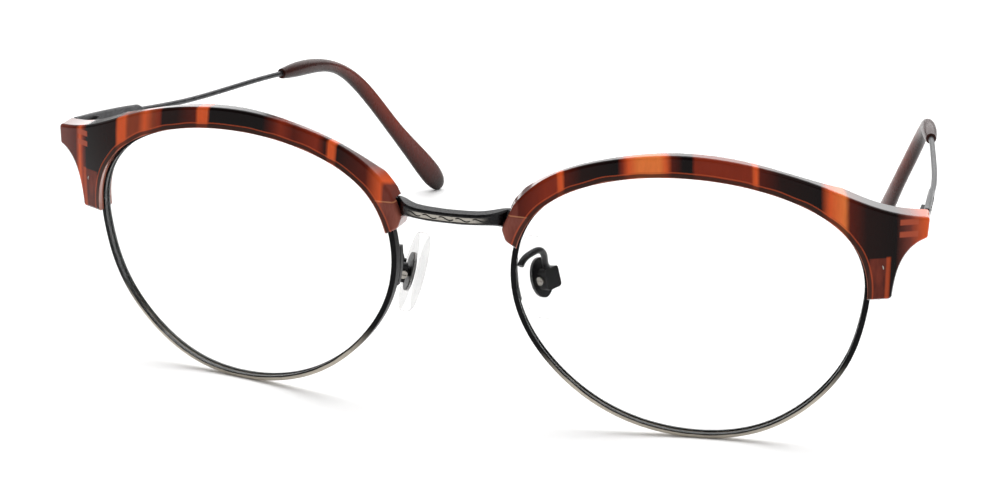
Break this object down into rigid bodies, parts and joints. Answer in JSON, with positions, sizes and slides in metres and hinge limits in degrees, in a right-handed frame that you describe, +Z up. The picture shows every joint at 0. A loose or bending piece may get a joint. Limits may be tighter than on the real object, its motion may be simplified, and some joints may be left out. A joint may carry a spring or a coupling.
{
  "type": "browline eyeglasses",
  "caption": "Spectacle frame with full metal rims under tortoiseshell acetate brows, clear lenses, bar bridge, rocking nose pads and folding temples.",
  "frame": {"origin": "middle of the footprint on the table, under the open frame", "axes": "+X to the wearer's left, +Y from the lenses to the ear ends, +Z up"},
  "size_m": [0.1344, 0.1358, 0.0446],
  "materials": {
    "tortoise_acetate": "polished, banded dark brown and orange",
    "tip_acetate": "polished dark brown",
    "gunmetal": "antique gunmetal, satin",
    "bright_steel": "satin",
    "clear_lens": "clear demonstration lens",
    "clear_silicone": "clear, soft gloss"
  },
  "bodies": {
    "front": {"bridge": "gunmetal", "brow_left": "tortoise_acetate", "eyewire_left": "gunmetal", "lens_left": "clear_lens", "rim_lock_upper_left": "gunmetal", "rim_lock_lower_left": "gunmetal", "rim_lock_screw_left": "bright_steel", "brow_bracket_left": "gunmetal", "brow_screws_left": "bright_steel", "hinge_front_left": "gunmetal", "hinge_screw_left": "bright_steel", "pad_arm_left": "gunmetal", "pad_box_left": "gunmetal", "pad_screw_left": "bright_steel", "brow_right": "tortoise_acetate", "eyewire_right": "gunmetal", "lens_right": "clear_lens", "rim_lock_upper_right": "gunmetal", "rim_lock_lower_right": "gunmetal", "rim_lock_screw_right": "bright_steel", "brow_bracket_right": "gunmetal", "brow_screws_right": "bright_steel", "hinge_front_right": "gunmetal", "hinge_screw_right": "bright_steel", "pad_arm_right": "gunmetal", "pad_box_right": "gunmetal", "pad_screw_right": "bright_steel"},
    "temple_left": {"temple_arm_left": "gunmetal", "temple_tip_left": "tip_acetate", "hinge_temple_left": "gunmetal"},
    "temple_right": {"temple_arm_right": "gunmetal", "temple_tip_right": "tip_acetate", "hinge_temple_right": "gunmetal"},
    "pad_left": {"nose_pad_left": "clear_silicone", "pad_core_left": "gunmetal"},
    "pad_right": {"nose_pad_right": "clear_silicone", "pad_core_right": "gunmetal"}
  },
  "joints": [
    {"name": "temple_left_fold", "type": "hinge", "parent": "front", "child": "temple_left", "pos_m": [0.0643, -0.04929, 0.03458], "axis": [0, -0.1668, 0.986], "range_deg": [0, 83]},
    {"name": "temple_right_fold", "type": "hinge", "parent": "front", "child": "temple_right", "pos_m": [-0.0643, -0.04929, 0.03458], "axis": [0, 0.1668, -0.986], "range_deg": [0, 78]},
    {"name": "pad_left_rock", "type": "hinge", "parent": "front", "child": "pad_left", "pos_m": [0.01147, -0.05253, 0.02099], "axis": [0.454, 0.8785, 0.1486], "range_deg": [-10, 10]},
    {"name": "pad_right_rock", "type": "hinge", "parent": "front", "child": "pad_right", "pos_m": [-0.01147, -0.05226, 0.01941], "axis": [-0.454, 0.8785, 0.1486], "range_deg": [-10, 10]}
  ]
}
